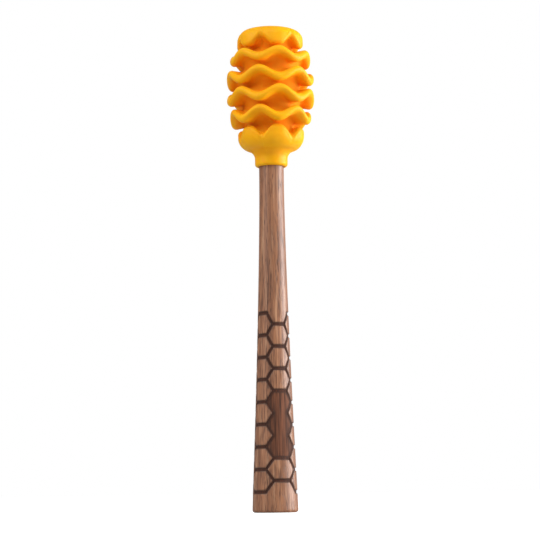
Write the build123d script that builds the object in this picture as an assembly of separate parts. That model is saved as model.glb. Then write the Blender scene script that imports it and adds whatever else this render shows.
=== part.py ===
from build123d import *
import os
from math import asin, cos, degrees, pi, radians, sin, sqrt

# Honey dipper: a ruffled silicone head pushed onto a turned wooden handle.
# Millimetres, +Z up along the axis. The origin is the middle of the handle's flat end,
# on which the dipper stands. The side with the engraved panel faces -Y.

# Handle
neck_diameter = 9.5
end_diameter = 17.5
visible_length = 132.0
flare_length = 125.0
flare_power = 1.41
handle_facets = 8
end_arris_radius = 1.1
tenon_length = 36.0
tenon_chamfer = 0.8

# Socket in the head
running_clearance = 0.05
socket_end_gap = 0.2
socket_lead_in = 0.35

# Head as a whole: the rims of all tiers lie on one egg-shaped outline, an ellipse
head_radius = 17.05
outline_half_height = 27.6
collar_height = 11.35
tier_pitch = 7.54
tier_count = 6

# Ruffles
wave_count = 6
wave_height = 1.7
flange_thickness = 3.2
groove_depth = 5.6
first_crest_angle = 23.0
top_flange_lift = 0.35
top_flange_wave_height = 1.35
points_per_wave = 12
rim_facets = 4
facet_flatness = 0.000001

# Cap, bowl and collar of the head
cap_rise = 4.4
cap_crown = 0.4
shoulder_radius = 4.6
shoulder_facets = 4
crown_facets = 2
bowl_depth = 4.8
collar_radius = 6.3
flare_facets = 3
lip_radius = 1.1
lip_facets = 3
cut_overrun = 1.0

# Worked out from the sizes above
neck_radius = neck_diameter / 2
end_radius = end_diameter / 2
socket_radius = neck_radius + running_clearance
half_thickness = flange_thickness / 2
bottom_tier_height = visible_length + collar_height
top_tier = tier_count - 1
top_tier_height = bottom_tier_height + top_tier * tier_pitch
outline_height = (bottom_tier_height + top_tier_height) / 2


def handle_radius(height):
    """Radius of the handle: a straight neck, and below it a flare that grows with a power."""
    drop_share = max(flare_length - height, 0) / flare_length
    return neck_radius + (end_radius - neck_radius) * drop_share**flare_power


def tier_height(tier):
    """Mean height of a tier. Tier 0 is the bowl at the bottom and the last is the cap. The
    flange below the cap sits a little closer to it than the others do to each other."""
    lift = top_flange_lift if tier == top_tier - 1 else 0
    return bottom_tier_height + tier * tier_pitch + lift


def outline_radius(height):
    """Radius of the egg-shaped outline of the head."""
    offset_share = (height - outline_height) / outline_half_height
    return head_radius * sqrt(1 - offset_share**2)


def groove_radius(groove):
    """Radius at the bottom of a groove. Groove 0 lies between the bowl and tier 1."""
    return outline_radius(tier_height(groove) + tier_pitch / 2) - groove_depth


def crest_height(tier, phase, radius):
    """Height of the middle of a tier's flange at a radius, where the wave's phase is 1 or -1.
    The wave grows from the axis in proportion to the radius, up to its full height at the
    outline. Neighbouring tiers are half a wave apart, so that the crests of one stand over the
    troughs of the next, and the grooves between them open and close like the cells of a comb."""
    direction = phase if tier % 2 == 0 else -phase
    wave = top_flange_wave_height if tier == top_tier - 1 else wave_height
    reach_share = radius / outline_radius(tier_height(tier))
    return tier_height(tier) + direction * wave * reach_share


def arc(centre_radius, centre_height, radius, first_angle, last_angle, facets):
    """Points (radius, height) along an arc of a section, its ends included. Angles are in
    degrees above the outward horizontal."""
    points = []
    for step in range(facets + 1):
        angle = radians(first_angle + (last_angle - first_angle) * step / facets)
        points.append((centre_radius + radius * cos(angle), centre_height + radius * sin(angle)))
    return points


def shoulder_rim(tier, phase, centre_height, side):
    """Centre radius of an end tier's rounded rim, and the angle at which the rim runs into
    the large shoulder arc, which has its centre at a height and lies above (side 1) or below
    (side -1) it. A rim that reaches past that centre is drawn in to stay on the shoulder."""
    outer_radius = outline_radius(tier_height(tier))
    reach = max(side * (crest_height(tier, phase, outer_radius) - centre_height), 0)
    inner_radius = shoulder_radius - half_thickness
    angle = asin(reach / inner_radius)
    centre_radius = outer_radius - shoulder_radius + inner_radius * cos(angle)
    return centre_radius, side * degrees(angle)


def bowl_section(phase):
    """Bottom tier with the collar: a rounded lip where the handle comes out, a collar that
    flares into a bowl, and the bowl's wavy rim, whose crests stand up like petals."""
    bowl_height = bottom_tier_height - bowl_depth
    outer_radius = outline_radius(bottom_tier_height)
    throat_radius = outer_radius - shoulder_radius
    flare_radius = throat_radius - collar_radius
    lip_centre_radius = collar_radius - lip_radius
    section = arc(lip_centre_radius, visible_length + lip_radius, lip_radius, -90, 0, lip_facets)
    section += arc(
        throat_radius, bowl_height - flare_radius, flare_radius, 180, 90, flare_facets
    )
    centre_height = bowl_height + shoulder_radius
    rim_radius, rim_angle = shoulder_rim(0, phase, centre_height, -1)
    bowl = arc(throat_radius, centre_height, shoulder_radius, -90, rim_angle, shoulder_facets)
    rim_height = crest_height(0, phase, outer_radius)
    rim = arc(rim_radius, rim_height, half_thickness, rim_angle, 90, rim_facets // 2)
    root = (groove_radius(0), crest_height(0, phase, groove_radius(0)) + half_thickness)
    return section + bowl[1:-1] + rim + [root]


def flange_section(tier, phase):
    """A ruffled flange, from its lower root round its rounded rim to its upper root. It is
    drawn level first, and each of its points is then raised or lowered by the wave."""
    level = [(groove_radius(tier - 1), -half_thickness)]
    rim_radius = outline_radius(tier_height(tier)) - half_thickness
    level += arc(rim_radius, 0, half_thickness, -90, 90, rim_facets)
    level += [(groove_radius(tier), half_thickness)]
    return [(radius, crest_height(tier, phase, radius) + offset) for radius, offset in level]


def cap_section(phase):
    """Top tier: a wavy lower rim, a full shoulder and a slightly crowned top."""
    outer_radius = outline_radius(top_tier_height)
    flat_radius = outer_radius - shoulder_radius
    dome_height = top_tier_height + cap_rise
    centre_height = dome_height - shoulder_radius
    rim_radius, rim_angle = shoulder_rim(top_tier, phase, centre_height, 1)
    rim_height = crest_height(top_tier, phase, outer_radius)
    root_radius = groove_radius(top_tier - 1)
    section = [(root_radius, crest_height(top_tier, phase, root_radius) - half_thickness)]
    section += arc(rim_radius, rim_height, half_thickness, -90, rim_angle, rim_facets // 2)
    shoulder = arc(flat_radius, centre_height, shoulder_radius, rim_angle, 90, shoulder_facets)
    section += shoulder[1:]
    for step in range(1, crown_facets + 1):
        inward_share = step / (crown_facets + 1)
        rise_share = 1 - (1 - step / crown_facets) ** 2
        section.append((flat_radius * (1 - inward_share), dome_height + cap_crown * rise_share))
    return section


def head_section(phase):
    """Outer section of the head from the lip to the crown, where the wave's phase is 1 or -1."""
    section = bowl_section(phase)
    for tier in range(1, top_tier):
        section += flange_section(tier, phase)
    return section + cap_section(phase)


def wave_loop(first, second):
    """Points of a loop round the axis that swings as a cosine from one point (radius, height)
    of the section to another and back, once in each wave."""
    steps = wave_count * points_per_wave
    points = []
    for step in range(steps):
        turn = 2 * pi * step / steps
        first_share = (1 + cos(wave_count * turn)) / 2
        radius = second[0] + (first[0] - second[0]) * first_share
        height = second[1] + (first[1] - second[1]) * first_share
        angle = turn + radians(first_crest_angle)
        points.append(Vector(radius * cos(angle), radius * sin(angle), height))
    return points


def facet(corners):
    """Flat face with the given corners."""
    return Face(Wire.make_polygon(corners, close=True))


def strip_facets(loop, following):
    """Facets between two loops. Those of a strip whose loops are in proportion are flat with
    four corners, as on all flanges. The others are folded along a diagonal into two."""
    facets = []
    for index, here in enumerate(loop):
        behind = loop[index - 1]
        across, across_behind = following[index], following[index - 1]
        normal = (behind - here).cross(across - here).normalized()
        if abs(normal.dot(across_behind - here)) < facet_flatness:
            facets.append(facet([here, across, across_behind, behind]))
        else:
            facets.append(facet([here, across, across_behind]))
            facets.append(facet([here, across_behind, behind]))
    return facets


def ruffled_solid(first_section, second_section):
    """Solid whose skin swings between two sections, corner by corner. Each corner goes round
    the axis as a wave loop, a strip of facets joins each loop to the next, and a flat disc
    closes each end."""
    loops = [wave_loop(first, second) for first, second in zip(first_section, second_section)]
    facets = [facet(loops[0]), facet(loops[-1])]
    for loop, following in zip(loops, loops[1:]):
        facets += strip_facets(loop, following)
    return Solid(Shell(facets))


def turned(draw_profile):
    """Solid of revolution of a profile drawn in radius and height."""
    with BuildPart() as part:
        with BuildSketch(Plane.XZ):
            with BuildLine():
                draw_profile()
            make_face()
        revolve(axis=Axis.Z)
    return part.part


def socket_profile():
    """Blind bore for the tenon, with a small lead-in at the mouth."""
    mouth_radius = socket_radius + socket_lead_in
    foot_height = visible_length - cut_overrun
    end_height = visible_length + tenon_length + socket_end_gap
    Polyline(
        (0, foot_height),
        (mouth_radius, foot_height),
        (mouth_radius, visible_length),
        (socket_radius, visible_length + socket_lead_in),
        (socket_radius, end_height),
        (0, end_height),
        (0, foot_height),
    )


def handle_profile():
    """Half outline of the turned handle: flat end, flare, straight neck and tenon."""
    heights = [flare_length * step / handle_facets for step in range(handle_facets + 1)]
    flare = [(handle_radius(height), height) for height in heights]
    tenon_height = visible_length + tenon_length
    Polyline(
        *flare,
        (neck_radius, tenon_height - tenon_chamfer),
        (neck_radius - tenon_chamfer, tenon_height),
        (0, tenon_height),
        (0, 0),
        flare[0],
    )


def wooden_handle():
    """Turned handle, with the arris of its sawn end eased."""
    blank = turned(handle_profile)
    return fillet(blank.edges().sort_by(Axis.Z)[0], end_arris_radius)


def silicone_head():
    """One moulding: collar and bowl, ruffled flanges and cap, round a blind socket."""
    return ruffled_solid(head_section(1), head_section(-1)) - turned(socket_profile)


os.makedirs("parts", exist_ok=True)
nodes = {"wooden_handle": wooden_handle(), "silicone_head": silicone_head()}
for name, shape in nodes.items():
    export_step(shape, "parts/" + name + ".step")
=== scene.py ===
# %% [markdown]
# A honey dipper has two pieces: a head of orange silicone, moulded in six ruffled tiers, and a
# turned wooden handle with a honeycomb burnt into it. This lesson dresses both. The packed
# frame already holds each piece at its real size, so every surface made here stands where the
# plain one does and stays inside its box, and adds what a bench model leaves out.

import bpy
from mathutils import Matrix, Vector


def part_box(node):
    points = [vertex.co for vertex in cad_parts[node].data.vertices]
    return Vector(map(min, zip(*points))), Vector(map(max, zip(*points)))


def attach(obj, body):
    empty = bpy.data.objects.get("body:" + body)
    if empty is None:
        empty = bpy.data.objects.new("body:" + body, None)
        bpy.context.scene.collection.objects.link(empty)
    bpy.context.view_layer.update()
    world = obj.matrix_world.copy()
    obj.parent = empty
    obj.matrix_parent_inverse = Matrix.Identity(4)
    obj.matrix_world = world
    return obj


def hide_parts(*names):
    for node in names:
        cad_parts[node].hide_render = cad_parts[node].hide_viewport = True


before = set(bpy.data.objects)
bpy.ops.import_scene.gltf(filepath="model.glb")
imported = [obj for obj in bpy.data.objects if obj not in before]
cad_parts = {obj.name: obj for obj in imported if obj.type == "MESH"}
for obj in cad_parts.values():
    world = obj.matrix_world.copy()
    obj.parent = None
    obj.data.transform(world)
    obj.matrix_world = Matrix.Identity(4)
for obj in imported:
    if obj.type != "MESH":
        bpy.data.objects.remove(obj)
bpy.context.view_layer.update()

# %% [markdown]
# Blender counts in metres, and a dipper is easier to think of in millimetres, so each length
# is written as a number times mm. Shapes are worked out with numpy as whole arrays, because
# that is fast and keeps each formula on one line.

# %% Tools and units
from math import acos, asin, cos, degrees, pi, radians, sin

import bpy
import numpy as np
from mathutils import Matrix, Vector

mm = 0.001

# %% [markdown]
# The camera comes first, because every judgement of shape and colour is made through it. The
# picture was taken with a long lens, level with the foot of the handle and aimed upwards, so
# that the ruffles show their undersides. The lens's length in pixels is the distance divided
# by the size of one pixel at the dipper, and the rest is one angle round it and one up it.

# %% Camera
picture_pixels = 540
pixel_size = 0.383 * mm
camera_distance = 700 * mm
camera_azimuth = radians(-20)
camera_elevation = radians(-6.75)
aim_height = 92.1 * mm
sideways_pixels = 2.6
lean = radians(0.67)
sensor_width = 36


def way_out(azimuth, elevation):
    """Direction out from the dipper: the azimuth turns it to the right from the front, and the
    elevation lifts it above the level."""
    level = cos(elevation)
    return Vector((sin(azimuth) * level, -cos(azimuth) * level, sin(elevation)))


def facing_back(place, way):
    """Matrix of a camera or lamp at a place, which looks against a direction."""
    return Matrix.Translation(place) @ way.to_track_quat("Z", "Y").to_matrix().to_4x4()


back = way_out(camera_azimuth, camera_elevation)
right = Vector((cos(camera_azimuth), sin(camera_azimuth), 0))
aim = Vector((0, 0, aim_height)) - right * sideways_pixels * pixel_size

camera_data = bpy.data.cameras.new("camera")
camera_data.sensor_width = sensor_width
camera_data.lens = sensor_width * camera_distance / (picture_pixels * pixel_size)
camera = bpy.data.objects.new("camera", camera_data)
roll = Matrix.Rotation(-lean, 4, "Z")
camera.matrix_world = facing_back(aim + back * camera_distance, back) @ roll
bpy.context.scene.collection.objects.link(camera)
bpy.context.scene.camera = camera
camera_place = [round(value, 3) for value in camera.matrix_world.translation]
print("camera at", camera_place, "lens", round(camera_data.lens, 1))

# %% [markdown]
# Both pieces are surfaces that close round the upright axis, so one helper makes both. It
# takes a grid of points, one row for each step along the profile and one column for each
# angle, joins neighbours with four-sided faces and closes both ends with a fan to a pole.
# Rows that climb the outside, with angles running counter-clockwise, make every face point
# outwards. The rows of the head's socket come before them and run down, so its faces point
# into the socket, away from the silicone.

# %% Skin of a round piece
def round_skin(name, points, masks):
    """Mesh over points[row, column] in metres. Face (i, j) joins rows i, i+1 and columns j,
    j+1, with the last column joined to the first, and each end row is joined to its own mean
    point. masks maps a name to one number a grid point, kept as an attribute."""
    rows, columns = points.shape[:2]
    poles = np.stack([points[0].mean(axis=0), points[-1].mean(axis=0)])
    vertices = np.vstack([points.reshape(-1, 3), poles])
    here = np.arange(columns)
    ahead = (here + 1) % columns
    row = np.arange(rows - 1)[:, None] * columns
    next_row = row + columns
    sides = np.stack([row + here, row + ahead, next_row + ahead, next_row + here], axis=-1)
    last = (rows - 1) * columns
    first_pole = np.full(columns, rows * columns)
    first_fan = np.stack([first_pole, ahead, here], axis=-1)
    last_fan = np.stack([first_pole + 1, last + here, last + ahead], axis=-1)
    faces = sides.reshape(-1, 4).tolist() + first_fan.tolist() + last_fan.tolist()
    mesh = bpy.data.meshes.new(name)
    mesh.from_pydata(vertices.tolist(), [], faces)
    mesh.shade_smooth()
    for mask_name, values in masks.items():
        ends = [values[0].mean(), values[-1].mean()]
        attribute = mesh.attributes.new(mask_name, "FLOAT", "POINT")
        attribute.data.foreach_set("value", np.append(values.reshape(-1), ends).astype(np.float32))
    piece = bpy.data.objects.new(name, mesh)
    bpy.context.scene.collection.objects.link(piece)
    print(name, "rows", rows, "columns", columns, "triangles", 2 * rows * columns)
    return piece


def oval(centre, across, up, first, last, rows):
    """Points (radius, height) on an oval: the centre plus (across times the cosine, up times
    the sine) of angles that run evenly from first to last, in degrees above the outward
    horizontal."""
    angles = np.radians(np.linspace(first, last, rows))
    return np.array(centre) + np.column_stack([across * np.cos(angles), up * np.sin(angles)])


def arc(centre, radius, first, last, rows):
    """Points on an oval that is as high as it is wide."""
    return oval(centre, radius, radius, first, last, rows)


def straight(start, end, rows):
    """Points evenly between two points, without the two themselves."""
    share = np.linspace(0, 1, rows + 2)[1:-1, None]
    return np.array(start) + (np.array(end) - np.array(start)) * share


def wrapped(angle):
    """The same angles, turned to lie within half a turn of zero: the angle of e to the i."""
    return np.angle(np.exp(1j * angle))


# %% [markdown]
# The head is one moulding. Its section is drawn twice, once where a wave is at its crest and
# once where it is at its trough, with the same number of points. Going round the axis, every
# point swings as a cosine from one section to the other and back, six times. Neighbouring
# tiers swing the opposite way, which opens the cells that hold honey. First come the sizes
# and the egg-shaped outline that all rims lie on.

# %% Sizes of the head
neck_radius = 4.75 * mm
tenon_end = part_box("wooden_handle")[1].z
socket_radius = 4.8 * mm
socket_lead_in = 0.35 * mm
socket_end_gap = 0.2 * mm
socket_end = tenon_end + socket_end_gap
head_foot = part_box("silicone_head")[0].z
head_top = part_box("silicone_head")[1].z
head_radius = 17.02 * mm
outline_half_height = 29.0 * mm
least_level = 0.01
collar_height = 11.35 * mm
tier_pitch = 7.54 * mm
tier_count = 6
wave_count = 6
wave_height = 1.7 * mm
half_thickness = 1.7 * mm
groove_depth = 5.8 * mm
first_crest_angle = radians(23)
top_flange_lift = 0.35 * mm
top_flange_wave_height = 1.35 * mm
bottom_tier_height = head_foot + collar_height
top_tier = tier_count - 1
top_tier_height = bottom_tier_height + top_tier * tier_pitch
outline_height = (bottom_tier_height + top_tier_height) / 2
print("head from", round(head_foot / mm, 2), "to", round(head_top / mm, 2), "mm")


def tier_height(tier):
    """Mean height of a tier: the bottom tier's height plus the pitch for each tier above, and
    a small lift for the flange below the cap, which sits a little closer to it."""
    lift = top_flange_lift if tier == top_tier - 1 else 0
    return bottom_tier_height + tier * tier_pitch + lift


def outline_radius(height):
    """Radius of the ellipse that the rims lie on, at one height or many: the head's radius
    times the square root of one less the square of the height's share of the half height.
    Near the ends of the ellipse and past them, what is under the root has a least value."""
    offset_share = (height - outline_height) / outline_half_height
    return head_radius * np.sqrt(np.clip(1 - offset_share ** 2, least_level, 1))


def groove_radius(groove):
    """Radius of the core between two tiers: the outline there, less the groove's depth."""
    return outline_radius(tier_height(groove) + tier_pitch / 2) - groove_depth


def swing(tier, phase):
    """The phase as a tier takes it: odd tiers take it with the opposite sign."""
    return phase if tier % 2 == 0 else -phase


def crest(tier, phase, radius):
    """Height of a flange's middle at a radius: the tier's height plus the wave, whose height
    grows in proportion to the radius and is full at the outline."""
    wave = top_flange_wave_height if tier == top_tier - 1 else wave_height
    height = tier_height(tier)
    return height + swing(tier, phase) * wave * radius / outline_radius(height)


# %% [markdown]
# A groove's root isn't a sharp corner: liquid silicone flows round a polished steel ridge, so
# its root is a fillet. Where the cell is wide the fillet is large, and where two tiers nearly
# touch it is small. A flange is then two fillets, two faces and a rounded rim, drawn level
# first and raised by the wave afterwards. Under each crest the rim runs on inwards as one long
# oval, because the picture shows the underside of a wave there as a smooth arch.

# %% Sections of the flanges
root_share = 0.47
least_face = 0.15 * mm
root_rows = 8
face_rows = 4
rim_rows = 8
wall_rows = 3


def root_radius(groove, phase):
    """Height of the fillets in a groove: a share, just under a half, of the gap between the
    two tiers at the core, so that the two fillets nearly meet and never cross."""
    radius = groove_radius(groove)
    gap = crest(groove + 1, phase, radius) - crest(groove, phase, radius) - 2 * half_thickness
    return root_share * gap


def root_across(tier, groove, up):
    """Reach of a fillet out from the core: as far as it is high, or half the way to the tier's
    rim if that is less."""
    return min(up, (outline_radius(tier_height(tier)) - groove_radius(groove)) / 2)


def lower_root(tier, phase):
    """Fillet from the core out to a flange's lower face."""
    up = root_radius(tier - 1, phase)
    across = root_across(tier, tier - 1, up)
    centre = (groove_radius(tier - 1) + across, -half_thickness - up)
    return oval(centre, across, up, 180, 90, root_rows)


def upper_root(tier, phase):
    """Fillet from a flange's upper face in to the core."""
    up = root_radius(tier, phase)
    across = root_across(tier, tier, up)
    centre = (groove_radius(tier) + across, half_thickness + up)
    return oval(centre, across, up, -90, -180, root_rows)


def raised(level, tier, phase):
    """Adds the wave to points drawn level: the height at each radius is the crest's plus the
    point's own."""
    return np.column_stack([level[:, 0], crest(tier, phase, level[:, 0]) + level[:, 1]])


def flange_section(tier, phase):
    """Lower root, lower face, rim, upper face and upper root of a middle tier. The rim is half
    round, but at a crest its lower quarter is a long oval that reaches almost to the root."""
    lower, upper = lower_root(tier, phase), upper_root(tier, phase)
    outer = outline_radius(tier_height(tier))
    at_crest = swing(tier, phase) > 0
    under = outer - lower[-1][0] - least_face if at_crest else half_thickness
    rim_under = oval((outer - under, 0), under, half_thickness, -90, 0, rim_rows)
    rim_over = arc((outer - half_thickness, 0), half_thickness, 0, 90, rim_rows)
    lower_face = straight(lower[-1], rim_under[0], face_rows)
    upper_face = straight(rim_over[-1], upper[0], face_rows)
    level = np.vstack([lower, lower_face, rim_under, rim_over[1:], upper_face, upper])
    return raised(level, tier, phase)


# %% [markdown]
# The two end tiers differ. The bottom one is a bowl on a collar, whose rim rises in petals,
# and the top one is a cap whose lower rim waves while its shoulder stays round. On both, the
# wavy rim slides along one large shoulder arc, so the rim's centre is found by where it
# touches that arc from inside.

# %% Rims of the bowl and the cap
def shoulder_rim(tier, phase, shoulder_radius, centre_height, side):
    """Centre radius of a rim that touches the shoulder arc from inside, and the angle of the
    touching point: the arcsine of the rim's reach past the arc's centre, over the difference
    of the two radii."""
    outer = outline_radius(tier_height(tier))
    reach = max(side * (crest(tier, phase, outer) - centre_height), 0)
    inner = shoulder_radius - half_thickness
    angle = asin(reach / inner)
    return outer - shoulder_radius + inner * cos(angle), side * degrees(angle)


# %% [markdown]
# The bowl's section starts inside the head, at the blind end of the socket, so that the head
# is a closed skin and still looks right when it is pulled off its handle. From the mouth it
# goes round the lip, up the collar, out along the flare and up the bowl. The flare and the
# bowl are two arcs that touch, as a turner would draw them with a compass.

# %% Section of the bowl
bowl_depth = 5.1 * mm
bowl_radius = 5.6 * mm
flare_radius = 3.6 * mm
collar_radius = 6.3 * mm
lip_radius = 1.1 * mm
socket_end_rows = 3
socket_rows = 8
lip_rows = 9
collar_rows = 6
flare_rows = 9
shoulder_rows = 15


def socket_section():
    """Socket from its blind end down the bore to the lead-in at its mouth."""
    bore_top = (socket_radius, socket_end)
    bore_foot = (socket_radius, head_foot + socket_lead_in)
    mouth = (socket_radius + socket_lead_in, head_foot)
    end = straight((0, socket_end), bore_top, socket_end_rows)
    bore = straight(bore_top, bore_foot, socket_rows)
    return np.vstack([end, [bore_top], bore, [bore_foot, mouth]])


def bowl_section(phase):
    """Socket, lip, collar, flare, bowl, petal rim and upper face of the bottom tier. The line
    between the centres of the flare and the bowl is as long as both radii together, and its
    angle is the arccosine of its reach across over that length."""
    outer = outline_radius(bottom_tier_height)
    bowl_height = bottom_tier_height - bowl_depth + bowl_radius
    arcs_reach = bowl_radius + flare_radius
    turn = -degrees(acos((collar_radius + flare_radius - outer + bowl_radius) / arcs_reach))
    flare_height = bowl_height + arcs_reach * sin(radians(turn))
    lip = arc((collar_radius - lip_radius, head_foot + lip_radius), lip_radius, -90, 0, lip_rows)
    flare_centre = (collar_radius + flare_radius, flare_height)
    flare = arc(flare_centre, flare_radius, 180, 180 + turn, flare_rows)
    collar = straight(lip[-1], flare[0], collar_rows)
    rim_radius, rim_angle = shoulder_rim(0, phase, bowl_radius, bowl_height, -1)
    bowl = arc((outer - bowl_radius, bowl_height), bowl_radius, turn, rim_angle, shoulder_rows)
    rim_centre = (rim_radius, crest(0, phase, outer))
    rim = arc(rim_centre, half_thickness, rim_angle, 90, 2 * rim_rows)
    root = raised(upper_root(0, phase), 0, phase)
    face = straight(rim[-1], root[0], face_rows)
    return np.vstack([socket_section(), lip, collar, flare, bowl[1:-1], rim, face, root])


# %% [markdown]
# The cap closes the head. Its rim hangs in petals over the topmost flange, and its top is
# almost flat, with a slight crown. A flat disc would be simpler, but it would shade as one
# even patch.

# %% Section of the cap
cap_rise = 4.4 * mm
cap_crown = 0.3 * mm
cap_shoulder_radius = 4.3 * mm
crown_rows = 7


def cap_section(phase):
    """Lower root, lower face, rim, shoulder and slightly crowned top of the top tier. The
    crown rises as one less the square of what is left of the way in."""
    outer = outline_radius(top_tier_height)
    flat_radius = outer - cap_shoulder_radius
    dome_height = top_tier_height + cap_rise
    centre_height = dome_height - cap_shoulder_radius
    rim_radius, rim_angle = shoulder_rim(top_tier, phase, cap_shoulder_radius, centre_height, 1)
    rim_centre = (rim_radius, crest(top_tier, phase, outer))
    rim = arc(rim_centre, half_thickness, -90, rim_angle, 2 * rim_rows)
    root = raised(lower_root(top_tier, phase), top_tier, phase)
    face = straight(root[-1], rim[0], face_rows)
    shoulder_centre = (flat_radius, centre_height)
    shoulder = arc(shoulder_centre, cap_shoulder_radius, rim_angle, 90, shoulder_rows)
    inward = np.linspace(0, 1, crown_rows + 2)[1:-1]
    crown_height = dome_height + cap_crown * (1 - (1 - inward) ** 2)
    crown = np.column_stack([flat_radius * (1 - inward), crown_height])
    return np.vstack([root, face, rim, shoulder[1:], crown])


# %% [markdown]
# Now the sections of all tiers are joined into one, with a short piece of the core's wall
# between each tier and the next. The bowl and the cap are marked, because the waves of their
# rims aren't plain cosines.

# %% Section of the head
def head_section(phase):
    """All tiers from the socket to the crown, with the core's wall between them, and for each
    point a one where it lies on the bowl or the cap and a zero on the tiers between."""
    parts = [bowl_section(phase)]
    tiers = [flange_section(tier, phase) for tier in range(1, top_tier)] + [cap_section(phase)]
    for following in tiers:
        parts += [straight(parts[-1][-1], following[0], wall_rows), following]
    lobed = np.zeros(sum(map(len, parts)))
    lobed[:len(parts[0])] = 1
    lobed[-len(parts[-1]):] = 1
    return np.vstack(parts), lobed


# %% [markdown]
# The bowl and the cap have broad petals with narrow notches between them, and a shallow crease
# runs on from each notch. The mould splits in two halves, and a hair of silicone creeps into
# the split. It shows as a faint raised line that climbs over every tier on two opposite sides.
# Extra columns of points are added there, because the line is narrower than the spacing of the
# others.

# %% The silicone head
columns_per_wave = 46
lobe_power = 1.7
crease_depth = 0.45 * mm
crease_half_angle = radians(5)
crease_fade = 2 * mm
parting_angle = radians(53)
parting_width = 0.16 * mm
parting_height = 0.1 * mm
parting_fade = 1 * mm
parting_offsets = np.radians([-1.6, -0.9, -0.45, 0, 0.45, 0.9, 1.6])
least_spacing = radians(0.35)


def head_angles():
    """Angles of the columns: even steps round the axis, less those that come too near to a
    column of the parting line, and those columns themselves."""
    column_count = wave_count * columns_per_wave
    even = np.arange(column_count) * 2 * pi / column_count
    parting = np.concatenate([parting_angle + parting_offsets, parting_angle + pi + parting_offsets])
    nearest = np.abs(wrapped(even[:, None] - parting[None, :])).min(axis=1)
    return np.sort(np.concatenate([even[nearest > least_spacing], parting]))


def ruffled_points():
    """Grid of points of the head, and how deep each lies in its groove. A point is a mix of
    both sections, whose share is half of one plus the cosine of the waves' count times the
    angle from the first crest. On the bowl and the cap the rest of the share is raised to a
    power. The crease and the parting line are bell curves, of the angle from the nearest notch
    and of the distance from the parting plane. The depth is the way in from the outline, over
    the depth of a groove."""
    angles = head_angles()
    (crest_side, lobed), (trough_side, _) = head_section(1), head_section(-1)
    turn = wave_count * (angles - first_crest_angle)
    rest = ((1 - np.cos(turn)) / 2)[None, :] ** (1 + (lobe_power - 1) * lobed[:, None])
    blended = crest_side[:, None, :] + (trough_side - crest_side)[:, None, :] * rest[..., None]
    radius, height = blended[..., 0], blended[..., 1]
    outside = np.clip((radius - collar_radius) / parting_fade, 0, 1)
    from_notch = np.abs(wrapped(turn + pi)) / wave_count
    crease = np.exp(-(from_notch / crease_half_angle) ** 2)[None, :] * lobed[:, None]
    petal = np.clip((radius - collar_radius - flare_radius) / crease_fade, 0, 1)
    radius = radius - crease_depth * crease * petal * petal
    plane_distance = radius * np.abs(np.sin(angles - parting_angle))
    line = np.exp(-(plane_distance / parting_width) ** 2) * outside
    radius = radius + parting_height * line
    points = np.stack([radius * np.cos(angles), radius * np.sin(angles), height], axis=-1)
    rim = np.maximum(outline_radius(height), collar_radius)
    # The depth also steers the finish's painted glow at the rims and painted shade in the grooves.
    return points, {"depth": np.clip((rim - radius) / groove_depth, 0, 1)}


head_points, head_masks = ruffled_points()
head = round_skin("silicone_ruffled_head", head_points, head_masks)
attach(head, "head")
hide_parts("silicone_head")

# %% [markdown]
# The handle is turned on a lathe: a straight neck, then a flare that grows ever faster to the
# flat end. Its radius is a power curve of the way down. The honeycomb is burnt in by a laser
# that turns with the stick, so its cells are even in angle, not in width, and get wider as
# the handle flares. The rows of points are closest where the honeycomb is.

# %% Profile of the handle
end_radius = 8.75 * mm
flare_length = 125 * mm
flare_power = 1.41
end_arris = 1.1 * mm
tenon_chamfer = 0.8 * mm
engraved_foot = 5 * mm
engraved_top = 79 * mm
end_rows = 5
arris_rows = 7
foot_rows = 7
engraved_rows = 308
neck_rows = 42
tip_rows = 2


def handle_radius(height):
    """Neck radius plus the flare: the difference to the end's radius times the share of the
    way down, raised to a power."""
    down = np.maximum(flare_length - height, 0) / flare_length
    return neck_radius + (end_radius - neck_radius) * down ** flare_power


def handle_profile():
    """Radius and height from the middle of the flat end, round the eased arris, up the flare
    and the neck to the end of the tenon."""
    end = straight((0, 0), (end_radius - end_arris, 0), end_rows)
    arris_centre = (handle_radius(end_arris) - end_arris, end_arris)
    arris = arc(arris_centre, end_arris, -90, 0, arris_rows)
    heights = np.concatenate([
        np.linspace(end_arris, engraved_foot, foot_rows)[1:],
        np.linspace(engraved_foot, engraved_top, engraved_rows)[1:],
        np.linspace(engraved_top, tenon_end - tenon_chamfer, neck_rows)[1:],
    ])
    side = np.column_stack([handle_radius(heights), heights])
    tip = (neck_radius - tenon_chamfer, tenon_end)
    return np.vstack([end, arris, side, [tip], straight(tip, (0, tenon_end), tip_rows)])


# %% [markdown]
# The honeycomb stands on its points sideways: each cell has a level bar above and below, and
# a point at the left and the right. Five columns of cells go round, each one and a half cell
# sides from the next, and the last two touch point to point at the back. Every cell's outline
# is six strokes, and the depth at any point of the handle depends on the nearest stroke. Three
# cells of the front column are one sunk field with nothing in it.

# %% Strokes of the honeycomb
cell_side = radians(45)
column_step = 1.5 * cell_side
outermost_column = 2
row_pitch = 8.42 * mm
front_top = 70.85 * mm
front_cells = 7
field_cells = (3, 4, 5)
bar_half_width = 0.64 * mm
slant_half_width = 0.5 * mm


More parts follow.
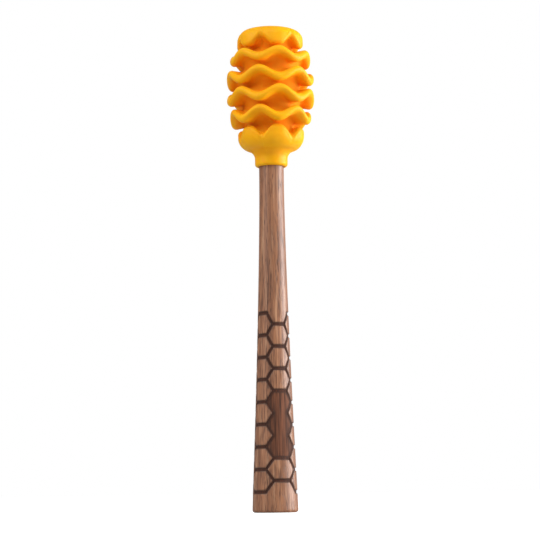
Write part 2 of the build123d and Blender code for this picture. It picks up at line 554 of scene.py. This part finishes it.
def honeycomb_strokes():
    """Strokes as (start, end, half width), each end an angle and a height. Odd columns stand
    half a pitch higher and have one cell more. Two cells of a column share the bar between
    them, and the bars between the cells of the sunk field are left out."""
    strokes = []
    for column in range(-outermost_column, outermost_column + 1):
        odd = column % 2
        middle = column_step * column
        left, right = middle - cell_side / 2, middle + cell_side / 2
        cells = front_cells + odd
        for cell in range(cells):
            top = front_top + row_pitch * (odd / 2 - cell)
            centre, foot = top - row_pitch / 2, top - row_pitch
            in_field = column == 0 and cell in field_cells and cell - 1 in field_cells
            if not in_field:
                strokes.append(((left, top), (right, top), bar_half_width))
            if cell == cells - 1:
                strokes.append(((left, foot), (right, foot), bar_half_width))
            for side in (-1, 1):
                point, corner = middle + side * cell_side, middle + side * cell_side / 2
                strokes.append(((corner, top), (point, centre), slant_half_width))
                strokes.append(((point, centre), (corner, foot), slant_half_width))
    return strokes


def stroke_distance(angle, height, radius, start, end):
    """Distance along the surface from points to a stroke, with the angle from the stroke's
    start unrolled at each point's own radius: the point less its nearest place on the line."""
    across = radius * wrapped(angle - start[0])
    up = height - start[1]
    run, rise = radius * (end[0] - start[0]), end[1] - start[1]
    along = np.clip((across * run + up * rise) / (run ** 2 + rise ** 2), 0, 1)
    return np.hypot(across - along * run, up - along * rise)


strokes = honeycomb_strokes()
print(len(strokes), "strokes in", 2 * outermost_column + 1, "columns")

# %% [markdown]
# A stroke's walls aren't upright: the beam of a laser is round and softens them. The sunk
# field is cut as deep as the strokes, with the same soft walls.

# %% Depth of the sunk field
stroke_softness = 0.16 * mm
stroke_depth = 0.42 * mm


def smooth_step(value):
    """Zero below 0 and one above 1, and 3v^2 - 2v^3 between."""
    value = np.clip(value, 0, 1)
    return value * value * (3 - 2 * value)


def field_depth(angle, height, radius):
    """One inside the sunk field and zero outside. The field's half width swings from half a
    side at its bars to a whole side midway between them, and its ends are level."""
    top = front_top - row_pitch * field_cells[0]
    foot = front_top - row_pitch * (field_cells[-1] + 1)
    rows_down = (top - height) / row_pitch
    from_middle = np.abs(rows_down - np.floor(rows_down) - 0.5) * 2
    half_angle = cell_side * (1 - from_middle / 2)
    slope = row_pitch / (radius * cell_side)
    inside = radius * (half_angle - np.abs(angle)) * slope / np.sqrt(1 + slope ** 2)
    inside = np.minimum(inside, np.minimum(top - height, height - foot))
    return smooth_step(inside / stroke_softness)


# %% [markdown]
# The handle's skin is its profile turned round the axis, pushed inwards where it is engraved.
# It carries three masks for its finish: where it is engraved, where that is the sunk field,
# and a narrow scorch along the walls of the strokes.

# %% The wooden handle
handle_columns = 256
scorch_width = 0.3 * mm


def handle_points():
    """Grid of points of the handle, less the engraving's depth, which is the deeper of the
    strokes and the sunk field. A stroke is one along its line and falls to zero over a soft
    wall at its half width. The scorch is a bell curve of the distance from the nearest wall."""
    profile = handle_profile()
    angles = np.arange(handle_columns) * 2 * pi / handle_columns - pi
    radius = np.repeat(profile[:, :1], handle_columns, axis=1)
    height = np.repeat(profile[:, 1:], handle_columns, axis=1)
    angle = np.repeat(angles[None, :], len(profile), axis=0)
    rows = (profile[:, 1] > engraved_foot) & (profile[:, 1] < engraved_top)
    local = angle[rows], height[rows], radius[rows]
    nearest_wall = np.full(local[0].shape, np.inf)
    stroke = np.zeros(local[0].shape)
    for start, end, half_width in strokes:
        distance = stroke_distance(*local, start, end)
        within = half_width + stroke_softness / 2 - distance
        stroke = np.maximum(stroke, smooth_step(within / stroke_softness))
        nearest_wall = np.minimum(nearest_wall, np.abs(distance - half_width))
    field = field_depth(*local)
    masks = {name: np.zeros(radius.shape) for name in ("engraved", "field", "scorch")}
    masks["engraved"][rows] = np.maximum(stroke, field)
    masks["field"][rows] = field * (1 - stroke)
    masks["scorch"][rows] = np.exp(-(nearest_wall / scorch_width) ** 2)
    radius = radius - stroke_depth * masks["engraved"]
    turn = angle - pi / 2
    points = np.stack([radius * np.cos(turn), radius * np.sin(turn), height], axis=-1)
    return points, masks


handle_grid, handle_masks = handle_points()
handle = round_skin("turned_engraved_handle", handle_grid, handle_masks)
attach(handle, "handle")
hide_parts("wooden_handle")

# %% [markdown]
# A finish is a small graph of nodes. These helpers each place one node and give its output,
# so that a material reads like a formula further on.

# %% Helpers for finishes
def new_material(name):
    """Material with its node tree and its Principled BSDF."""
    material = bpy.data.materials.new(name)
    material.use_nodes = True
    return material, material.node_tree, material.node_tree.nodes["Principled BSDF"]


def link(tree, start, end):
    """Joins an output socket to an input socket."""
    tree.links.new(start, end)


def feed(tree, socket, value):
    """Gives an input socket its value, by a link from another socket or as a plain number."""
    if hasattr(value, "links"):
        link(tree, value, socket)
    else:
        socket.default_value = value


def mask(tree, name):
    """One of the masks that the piece's mesh carries."""
    node = tree.nodes.new("ShaderNodeAttribute")
    node.attribute_name = name
    return node.outputs["Fac"]


def mixed(tree, factor, first, second):
    """Mix of two colours, each a colour or a socket, by a factor, a number or a socket. A Mix
    node has its colour sockets behind those for numbers and vectors."""
    node = tree.nodes.new("ShaderNodeMix")
    node.data_type = "RGBA"
    for place, value in ((0, factor), (6, first), (7, second)):
        feed(tree, node.inputs[place], value)
    return node.outputs[2]


def computed(tree, operation, *values):
    """Math node on numbers or sockets."""
    node = tree.nodes.new("ShaderNodeMath")
    node.operation = operation
    for socket, value in zip(node.inputs, values):
        feed(tree, socket, value)
    return node.outputs[0]


def scaled(tree, value, factor):
    """A socket's value times a factor."""
    return computed(tree, "MULTIPLY", value, factor)


def added(tree, first, *others):
    """Sum of numbers or sockets."""
    for other in others:
        first = computed(tree, "ADD", first, other)
    return first


def bumped(tree, bsdf, height, distance, strength):
    """Bump from a height socket into the shader's normal."""
    node = tree.nodes.new("ShaderNodeBump")
    node.inputs["Distance"].default_value = distance
    node.inputs["Strength"].default_value = strength
    link(tree, height, node.inputs["Height"])
    link(tree, node.outputs["Normal"], bsdf.inputs["Normal"])


def linear(red, green, blue):
    """Colour for a socket from the usual 0 to 255 values, by the sRGB curve."""
    values = np.array([red, green, blue]) / 255
    curve = np.where(values <= 0.04045, values / 12.92, ((values + 0.055) / 1.055) ** 2.4)
    return (*curve.tolist(), 1.0)


# %% [markdown]
# Both finishes need soft, uneven patches, and the wood needs streaks as well: a pattern that
# runs far along the grain and changes fast across it. One group makes both. It reads Object
# coordinates, which are metres here, and stretches them differently across and along.

# %% Streak group
streak_inputs = ("Across", "Along", "Detail", "Low", "High")


def streak_group():
    """Group whose value is noise on the object's coordinates, with x and y times Across and z
    times Along, spread so that Low becomes 0 and High becomes 1."""
    group = bpy.data.node_groups.new("streaks", "ShaderNodeTree")
    for name in streak_inputs:
        group.interface.new_socket(name, in_out="INPUT", socket_type="NodeSocketFloat")
    group.interface.new_socket("Value", in_out="OUTPUT", socket_type="NodeSocketFloat")
    nodes = group.nodes
    given, made = nodes.new("NodeGroupInput"), nodes.new("NodeGroupOutput")
    place, spread = nodes.new("ShaderNodeTexCoord"), nodes.new("ShaderNodeCombineXYZ")
    stretched, noise = nodes.new("ShaderNodeVectorMath"), nodes.new("ShaderNodeTexNoise")
    stretched.operation = "MULTIPLY"
    noise.inputs["Scale"].default_value = 1.0
    ramp = nodes.new("ShaderNodeMapRange")
    ramp.interpolation_type = "SMOOTHSTEP"
    link(group, given.outputs["Across"], spread.inputs["X"])
    link(group, given.outputs["Across"], spread.inputs["Y"])
    link(group, given.outputs["Along"], spread.inputs["Z"])
    link(group, place.outputs["Object"], stretched.inputs[0])
    link(group, spread.outputs["Vector"], stretched.inputs[1])
    link(group, stretched.outputs["Vector"], noise.inputs["Vector"])
    link(group, given.outputs["Detail"], noise.inputs["Detail"])
    link(group, noise.outputs["Fac"], ramp.inputs["Value"])
    link(group, given.outputs["Low"], ramp.inputs["From Min"])
    link(group, given.outputs["High"], ramp.inputs["From Max"])
    link(group, ramp.outputs["Result"], made.inputs["Value"])
    return group


streak_tree = streak_group()


def streaks(tree, across, along, detail, low, high):
    """Places the streak group with its own values and gives its output."""
    node = tree.nodes.new("ShaderNodeGroup")
    node.node_tree = streak_tree
    for name, value in zip(streak_inputs, (across, along, detail, low, high)):
        node.inputs[name].default_value = value
    return node.outputs["Value"]


def patches(tree, scale, detail, low, high):
    """Streaks that are as long as they are wide."""
    return streaks(tree, scale, scale, detail, low, high)


print("streak group with", len(streak_tree.nodes), "nodes")

# %% [markdown]
# Silicone is soft, satin and a little translucent: light goes in at a thin rim and comes out
# yellower, while a deep groove only sees light that has bounced off more silicone and turns
# orange. The path tracer gives the second for free, and scattering below the surface gives some
# of the first. On top of both, light and shade are painted into the colour by the depth of the
# groove: a painted glow makes the rims yellower, and painted shade makes the grooves deeper
# orange. The grooves are duller than the rims as well, so that the lamps leave no bright spots
# deep inside them.

# %% Silicone finish
rim_colour_with_painted_glow = linear(250, 176, 0)
painted_groove_shade_colour = linear(236, 134, 0)
pale_patch_colour = linear(255, 205, 70)
pale_patch_share = 0.06
rim_roughness = 0.42
uneven_roughness = 0.1
groove_roughness = 0.4
moulded_grain_height = 0.01 * mm
moulded_grain_strength = 0.4
silicone_settings = {
    "Subsurface Weight": 0.3,
    "Subsurface Radius": (1.0, 0.4, 0.05),
    "Subsurface Scale": 1.5 * mm,
    "IOR": 1.41,
    "Specular IOR Level": 0.25,
}

silicone, tree, bsdf = new_material("honey_silicone")
depth = mask(tree, "depth")
pale_patches = patches(tree, scale=160, detail=2, low=0.35, high=0.65)
smears = patches(tree, scale=900, detail=3, low=0.3, high=0.7)
moulded_grain = patches(tree, scale=1500, detail=2, low=0.3, high=0.7)
# Painted light by groove depth: a painted yellow glow at the rims, painted orange shade down in the
# grooves.
colour = mixed(tree, depth, rim_colour_with_painted_glow, painted_groove_shade_colour)
colour = mixed(tree, scaled(tree, pale_patches, pale_patch_share), colour, pale_patch_colour)
roughness = added(
    tree,
    scaled(tree, smears, uneven_roughness),
    rim_roughness,
    scaled(tree, depth, groove_roughness),
)
link(tree, colour, bsdf.inputs["Base Color"])
link(tree, roughness, bsdf.inputs["Roughness"])
for name, value in silicone_settings.items():
    bsdf.inputs[name].default_value = value
bumped(tree, bsdf, moulded_grain, moulded_grain_height, moulded_grain_strength)
head.data.materials.append(silicone)
print(silicone.name, "with", len(tree.nodes), "nodes")

# %% [markdown]
# The wood is a mid-brown hardwood, sanded but not oiled, with short dark pores along the
# grain. Its colour is built in layers: broad bands, fine fibres, pale streaks, dark flecks and
# pores. Each layer is a pattern, the share of the layers below that it covers, and its colour.

# %% Colour of the wood
wood, tree, bsdf = new_material("sanded_hardwood")
bands = streaks(tree, across=260, along=9, detail=2, low=0.3, high=0.7)
fibres = streaks(tree, across=2600, along=60, detail=3, low=0.25, high=0.75)
pale_streaks = streaks(tree, across=1100, along=45, detail=2, low=0.5, high=0.72)
flecks = streaks(tree, across=1500, along=110, detail=2, low=0.52, high=0.66)
pores = streaks(tree, across=3600, along=260, detail=1, low=0.6, high=0.72)
grain_layers = (
    (fibres, 0.55, linear(96, 60, 44)),
    (pale_streaks, 0.45, linear(214, 166, 130)),
    (flecks, 0.6, linear(84, 52, 38)),
    (pores, 0.7, linear(58, 34, 24)),
)
wood_colour = mixed(tree, bands, linear(182, 126, 90), linear(148, 98, 68))
for pattern, cover, layer_colour in grain_layers:
    wood_colour = mixed(tree, scaled(tree, pattern, cover), wood_colour, layer_colour)

# %% [markdown]
# The laser's burn lies over the grain: nearly black at the walls of a stroke and dark brown on
# its floor, while in the sunk field it thins out and lets the grain show. Charred wood is
# dull, so the engraving is rougher than the sanded face, and the pores and fibres are felt as
# a fine relief.

# %% Burn and relief of the wood
scorch_cover = 0.55
scorch_colour = linear(36, 18, 10)
sanded_roughness = 0.34
fibre_roughness = 0.15
char_roughness = 0.45
pore_relief = -1.0
fibre_relief = -0.35
relief_height = 0.05 * mm
relief_strength = 0.8

engraved, field = mask(tree, "engraved"), mask(tree, "field")
burn_streaks = streaks(tree, across=1500, along=16, detail=3, low=0.3, high=0.7)
field_colour = mixed(tree, burn_streaks, linear(64, 34, 20), linear(124, 74, 48))
floor_colour = mixed(tree, fibres, linear(54, 25, 13), linear(90, 48, 29))
colour = mixed(tree, field, wood_colour, field_colour)
colour = mixed(tree, computed(tree, "SUBTRACT", engraved, field), colour, floor_colour)
colour = mixed(tree, scaled(tree, mask(tree, "scorch"), scorch_cover), colour, scorch_colour)
roughness = added(
    tree,
    scaled(tree, fibres, fibre_roughness),
    sanded_roughness,
    scaled(tree, engraved, char_roughness),
)
relief = added(tree, scaled(tree, pores, pore_relief), scaled(tree, fibres, fibre_relief))
link(tree, colour, bsdf.inputs["Base Color"])
link(tree, roughness, bsdf.inputs["Roughness"])
bumped(tree, bsdf, relief, relief_height, relief_strength)
handle.data.materials.append(wood)
print(wood.name, "with", len(tree.nodes), "nodes")

# %% [markdown]
# The dipper stands on a plain white floor against white. What the camera sees of the floor
# and the world is lifted to white by Light Path, so the lamps needn't do it, and the floor
# still keeps the soft shadow at the foot of the handle.

# %% Floor
floor_half_width = 1500 * mm
floor_grey = 0.6
floor_roughness = 0.9
floor_lift = 0.82

floor_mesh = bpy.data.meshes.new("floor")
floor_turns = ((-1, -1), (1, -1), (1, 1), (-1, 1))
floor_corners = [(x * floor_half_width, y * floor_half_width, 0) for x, y in floor_turns]
floor_mesh.from_pydata(floor_corners, [], [(0, 1, 2, 3)])
floor = bpy.data.objects.new("floor", floor_mesh)
bpy.context.scene.collection.objects.link(floor)

white, tree, bsdf = new_material("white_floor")
bsdf.inputs["Base Color"].default_value = (floor_grey, floor_grey, floor_grey, 1)
bsdf.inputs["Roughness"].default_value = floor_roughness
path = tree.nodes.new("ShaderNodeLightPath")
lift = tree.nodes.new("ShaderNodeEmission")
both = tree.nodes.new("ShaderNodeAddShader")
link(tree, scaled(tree, path.outputs["Is Camera Ray"], floor_lift), lift.inputs["Strength"])
link(tree, bsdf.outputs["BSDF"], both.inputs[0])
link(tree, lift.outputs["Emission"], both.inputs[1])
link(tree, both.outputs["Shader"], tree.nodes["Material Output"].inputs["Surface"])
floor_mesh.materials.append(white)

# %% [markdown]
# The world is white with two strengths: full for the camera, which makes the backdrop, and
# weaker for every other ray, which makes the even light that fills the shadows.

# %% World
ambient_strength = 0.3

world = bpy.data.worlds.new("white_studio")
bpy.context.scene.world = world
world.use_nodes = True
tree = world.node_tree
sky = tree.nodes["Background"]
sky.inputs["Color"].default_value = (1, 1, 1, 1)
path = tree.nodes.new("ShaderNodeLightPath")
seen = computed(tree, "MAXIMUM", path.outputs["Is Camera Ray"], ambient_strength)
link(tree, seen, sky.inputs["Strength"])

# %% [markdown]
# One strong lamp stands at the camera's right, almost level with the dipper, and two weak ones
# light it from the left and from high in front. That is why the handle and the head are
# brightest towards their right edges, and why the undersides of the ruffles stay dark.

# %% Lamps
lamp_distance = 800 * mm


def soft_lamp(name, azimuth, elevation, size, power):
    """Square area lamp of a size, aimed at the dipper's middle from a distance. Its azimuth in
    degrees is 0 at the camera and 90 at the camera's right, and its power is in watts."""
    data = bpy.data.lights.new(name, "AREA")
    data.size = size
    data.energy = power
    lamp = bpy.data.objects.new(name, data)
    way = way_out(camera_azimuth + radians(azimuth), radians(elevation))
    middle = Vector((0, 0, aim_height))
    lamp.matrix_world = facing_back(middle + way * lamp_distance, way)
    bpy.context.scene.collection.objects.link(lamp)
    print(name, power, "W at", [round(value, 2) for value in lamp.matrix_world.translation])


soft_lamp("right_softbox", azimuth=92, elevation=6, size=600 * mm, power=12)
soft_lamp("left_softbox", azimuth=-60, elevation=30, size=500 * mm, power=2.8)
soft_lamp("front_softbox", azimuth=0, elevation=55, size=500 * mm, power=2.4)

# %% [markdown]
# Blender's usual view bends strong colours towards white. The plain view shows each colour as
# it was written, which keeps the orange of the silicone pure.

# %% Colours as written
bpy.context.scene.view_settings.view_transform = "Standard"
